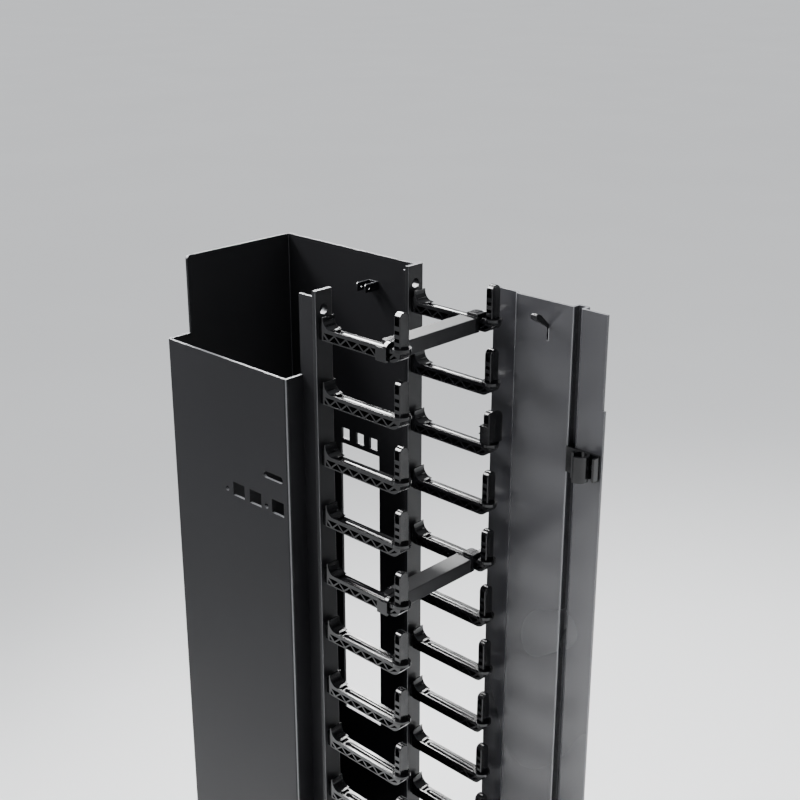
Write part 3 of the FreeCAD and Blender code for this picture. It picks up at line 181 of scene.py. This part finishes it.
def extruded_profile(name, colours, rough):
    """Extruded plastic tube: satin black with fine drawn lines along its length."""
    material, tree, shader, spot = start_material(name)
    across, along = per_metre(DRAWN_LINE_MM), per_metre(DRAWN_LINE_RUN_MM)
    mapping = add(tree, "ShaderNodeMapping", Vector=spot, Scale=(across, along, across))
    stretched = mapping.outputs["Vector"]
    lines = add(tree, "ShaderNodeTexNoise", Vector=stretched, Scale=1.0, Detail=2.0).outputs["Fac"]
    roughness = spread(tree, lines, rough - 0.02, rough + 0.03)
    tree.links.new(blend_colours(tree, lines, colours), shader.inputs["Base Color"])
    tree.links.new(roughness, shader.inputs["Roughness"])
    tree.links.new(bump(tree, lines, DRAWN_LINE_DEPTH_MM), shader.inputs["Normal"])
    shader.inputs["IOR"].default_value = PLASTIC_IOR
    shader.inputs["Specular IOR Level"].default_value = TUBE_SHINE
    return material


def blackened_steel(name, colours, rough):
    """Oxide-blackened steel screws and rivets: dull metal with worn lighter patches."""
    material, tree, shader, spot = start_material(name)
    patches = noise(tree, spot, WORN_PATCH_MM, 3.0)
    roughness = spread(tree, patches, rough - 0.08, rough + 0.1)
    tree.links.new(blend_colours(tree, patches, colours), shader.inputs["Base Color"])
    tree.links.new(roughness, shader.inputs["Roughness"])
    shader.inputs["Metallic"].default_value = 1.0
    return material


def pale_floor(name, colours):
    """Matt painted studio floor, almost even."""
    material, tree, shader, spot = start_material(name)
    clouds = noise(tree, spot, FLOOR_CLOUD_MM, 2.0)
    tree.links.new(blend_colours(tree, clouds, colours), shader.inputs["Base Color"])
    shader.inputs["Roughness"].default_value = FLOOR_ROUGHNESS
    return material


FINISHES = {
    "sheet_steel": powder_coated_steel(
        "black_powder_coated_steel", ("#151517", "#19191b"), rough=0.44, shine=0.14
    ),
    "panel_steel": powder_coated_steel(
        "semi_gloss_powder_coated_steel",
        ("#2e2e31", "#363639"),
        rough=0.25,
        shine=0.75,
        ior=GLOSSY_COAT_IOR,
    ),
    "rail_steel": powder_coated_steel(
        "powder_coated_flat_bar", ("#0e0e10", "#131315"), rough=0.38, shine=0.3
    ),
    "fork_steel": powder_coated_steel(
        "coated_steel_bracket", ("#0e0e10", "#141416"), rough=0.32, shine=0.35
    ),
    "bar_plastic": extruded_profile("satin_extruded_tube", ("#131315", "#19191b"), rough=0.42),
    "clamp_plastic": moulded_plastic("gloss_moulded_clamp", ("#09090a", "#0e0e10"), rough=0.16),
    "finger_plastic": moulded_plastic("gloss_moulded_finger", ("#09090a", "#0e0e10"), rough=0.17),
    "hook_plastic": moulded_plastic("gloss_moulded_hook", ("#0b0b0d", "#101012"), rough=0.24),
    "clip_plastic": moulded_plastic("gloss_moulded_clip", ("#09090a", "#0e0e10"), rough=0.17),
    "fastener_steel": blackened_steel(
        "blackened_steel_fastener", ("#3a3a3d", "#5a5a5e"), rough=0.34
    ),
}

# Painted highlights: a sheet's edges and folds get a lighter colour that stands in for the light
# they catch, and are a little shinier.
PAINTED_EDGE_HIGHLIGHTS = {
    "sheet_steel": powder_coated_steel(
        "painted_highlight_on_sheet_edges", ("#56575a", "#626366"), rough=0.34, shine=0.6
    ),
    "panel_steel": powder_coated_steel(
        "painted_highlight_on_panel_edges", ("#6a6b6e", "#77787b"), rough=0.3, shine=0.8
    ),
    "rail_steel": powder_coated_steel(
        "painted_highlight_on_bar_edges", ("#4a4b4e", "#56575a"), rough=0.34, shine=0.6
    ),
    "fork_steel": powder_coated_steel(
        "painted_highlight_on_bracket_edges", ("#3c3d40", "#48494c"), rough=0.34, shine=0.6
    ),
}


# Pieces

MERGE_MM = 0.002
FLAT_DEGREES = 1

SMOOTH_DEGREES = 32
EDGE_DEGREES = 38
EDGE_SEGMENTS = 2
FACE_WEIGHT = 100

# How far each slot's edges are eased.
EDGE_MM = {
    "sheet_steel": 0.5,
    "panel_steel": 0.45,
    "rail_steel": 0.5,
    "fork_steel": 0.2,
    "bar_plastic": 0.4,
    "clamp_plastic": 0.35,
    "finger_plastic": 0.22,
    "hook_plastic": 0.3,
    "clip_plastic": 0.25,
    "fastener_steel": 0.15,
}

# These pick the faces that get the painted edge highlight: upright faces turned between two sides,
# and narrow faces that face up.
FOLD_TURN = 0.5
FOLD_TILT = 0.1
CUT_TILT = 0.3
CUT_EDGE_MM = 2.6


def deselect():
    bpy.ops.object.select_all(action="DESELECT")


def only(piece):
    """Selects one object and makes it active."""
    deselect()
    piece.select_set(True)
    bpy.context.view_layer.objects.active = piece


def merged_copy(node):
    """A copy of a node's mesh with its triangles joined into whole faces."""
    piece = bpy.data.objects.new(f"{node}_finished", NODES[node].data.copy())
    bpy.context.scene.collection.objects.link(piece)
    only(piece)
    bpy.ops.object.mode_set(mode="EDIT")
    bpy.ops.mesh.select_all(action="SELECT")
    bpy.ops.mesh.remove_doubles(threshold=MERGE_MM * MM)
    bpy.ops.mesh.dissolve_limited(angle_limit=math.radians(FLAT_DEGREES))
    bpy.ops.object.mode_set(mode="OBJECT")
    return piece


def give_finish(piece, slot):
    """Puts the slot's finish on a piece, and the painted edge highlight after it."""
    piece.data.materials.clear()
    piece.data.materials.append(FINISHES[slot])
    if slot in PAINTED_EDGE_HIGHLIGHTS:
        piece.data.materials.append(PAINTED_EDGE_HIGHLIGHTS[slot])


def ease_edges(piece, width_mm):
    """Rounds the sharp edges a little, as a mould or a coat of paint does.

    The rounding takes the piece's last material, the painted edge highlight where the slot has
    one, and the flat faces keep their own shading.
    """
    only(piece)
    bpy.ops.object.shade_smooth_by_angle(angle=math.radians(SMOOTH_DEGREES))
    bevel = piece.modifiers.new("eased_edges", "BEVEL")
    bevel.width = width_mm * MM
    bevel.segments = EDGE_SEGMENTS
    bevel.limit_method = "ANGLE"
    bevel.angle_limit = math.radians(EDGE_DEGREES)
    bevel.use_clamp_overlap = True
    bevel.harden_normals = True
    # The rounded edges take the painted edge highlight, where the slot has one.
    bevel.material = len(piece.data.materials) - 1
    bpy.ops.object.modifier_apply(modifier=bevel.name)
    flat = piece.modifiers.new("flat_faces", "WEIGHTED_NORMAL")
    flat.keep_sharp = True
    flat.weight = FACE_WEIGHT
    bpy.ops.object.modifier_apply(modifier=flat.name)


def mark_painted_highlights(piece):
    """Gives the painted edge highlight to the middle of each upright fold and to each upward cut
    edge, the faces that catch the light.
    """
    corners = piece.data.vertices
    for face in piece.data.polygons:
        across, along, up = (abs(part) for part in face.normal)
        on_fold = min(across, along) > FOLD_TURN and up < FOLD_TILT
        rim = sum((corners[a].co - corners[b].co).length for a, b in face.edge_keys)
        narrow = 2 * face.area / rim < CUT_EDGE_MM * MM
        on_cut = face.normal.z > CUT_TILT and narrow
        if on_fold or on_cut:
            face.material_index = 1


def dress(piece, node):
    """Gives a piece the node's body, and hides the node."""
    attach(piece, BODY_OF[node])
    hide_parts(node)


def finish_node(node):
    """Makes the visible piece of one node."""
    slot = SLOT_OF[node]
    piece = merged_copy(node)
    give_finish(piece, slot)
    ease_edges(piece, EDGE_MM[slot])
    # Painted highlights on upright folds and upward cut edges.
    if slot in PAINTED_EDGE_HIGHLIGHTS:
        mark_painted_highlights(piece)
    dress(piece, node)


for node in sorted(NODES):
    finish_node(node)


# Studio

FLOOR_METRES = 60

# The lights face this spot, in the upper half of the part.
HEART = (0.05, 0, 0.42)


def make_floor():
    deselect()
    bpy.ops.mesh.primitive_plane_add(size=FLOOR_METRES)
    floor = bpy.context.object
    floor.name = "studio_floor"
    floor.data.materials.append(pale_floor("pale_studio_floor", ("#eaebec", "#edeeef")))


def make_light(name, spot, size, watts, spread_degrees=180, roll_degrees=0):
    """A softbox that faces the part. The roll turns it about the line to the part."""
    data = bpy.data.lights.new(name, "AREA")
    data.shape = "RECTANGLE"
    data.size, data.size_y = size
    data.energy = watts
    data.spread = math.radians(spread_degrees)
    light = bpy.data.objects.new(name, data)
    light.location = spot
    light.visible_camera = False
    aim = (Vector(HEART) - Vector(spot)).to_track_quat("-Z", "Y")
    light.rotation_euler = (aim @ Quaternion((0, 0, 1), math.radians(roll_degrees))).to_euler()
    bpy.context.scene.collection.objects.link(light)


def make_sky_light(name, direction, spread_degrees, strength):
    """A wide even light from far above."""
    data = bpy.data.lights.new(name, "SUN")
    data.angle = math.radians(spread_degrees)
    data.energy = strength
    light = bpy.data.objects.new(name, data)
    light.rotation_euler = Vector(direction).to_track_quat("Z", "Y").to_euler()
    bpy.context.scene.collection.objects.link(light)


def make_world(colour, strength):
    world = bpy.data.worlds.new("studio")
    world.use_nodes = True
    background = world.node_tree.nodes["Background"]
    background.inputs["Color"].default_value = linear(colour)
    background.inputs["Strength"].default_value = strength
    bpy.context.scene.world = world


def make_camera(spot, tilt_degrees, turn_degrees, lens_mm, shift):
    """The photo's view, fitted to the part's edges. The tilt is down from level."""
    data = bpy.data.cameras.new("camera")
    data.lens = lens_mm
    data.sensor_width = 36
    data.shift_y = shift
    data.clip_start, data.clip_end = 0.05, 50
    camera = bpy.data.objects.new("camera", data)
    camera.location = spot
    camera.rotation_euler = (math.radians(90 - tilt_degrees), 0, math.radians(turn_degrees))
    bpy.context.scene.collection.objects.link(camera)
    bpy.context.scene.camera = camera


make_floor()
# The three strips on the left show as the bright lines along the tops of the fingers' arms.
make_light("left_strip", (-1.45, -0.1, 2.1), (1.3, 0.3), 5.5, 44)
make_light("left_front_strip", (-1.45, -1.0, 1.85), (1.1, 0.55), 7, 44, -35)
make_light("left_back_strip", (-1.45, 1.0, 1.75), (1.1, 0.3), 5, 44, 35)
make_light("back_left_softbox", (-1.5, 1.5, 1.5), (0.9, 0.4), 0.35, 100)
make_light("front_softbox", (-0.4, -1.55, 2.0), (1.1, 1.1), 5, 70)
make_light("right_fill", (2.1, 0.1, 0.9), (1.2, 1.2), 12)
make_sky_light("overhead", (-0.25, 0.2, 1), spread_degrees=35, strength=1.9)
make_world("#d5d8dd", 0.5)
make_camera(
    (0.5947, -0.5932, 0.7926),
    tilt_degrees=19.56,
    turn_degrees=43.95,
    lens_mm=58.77,
    shift=-0.03,
)
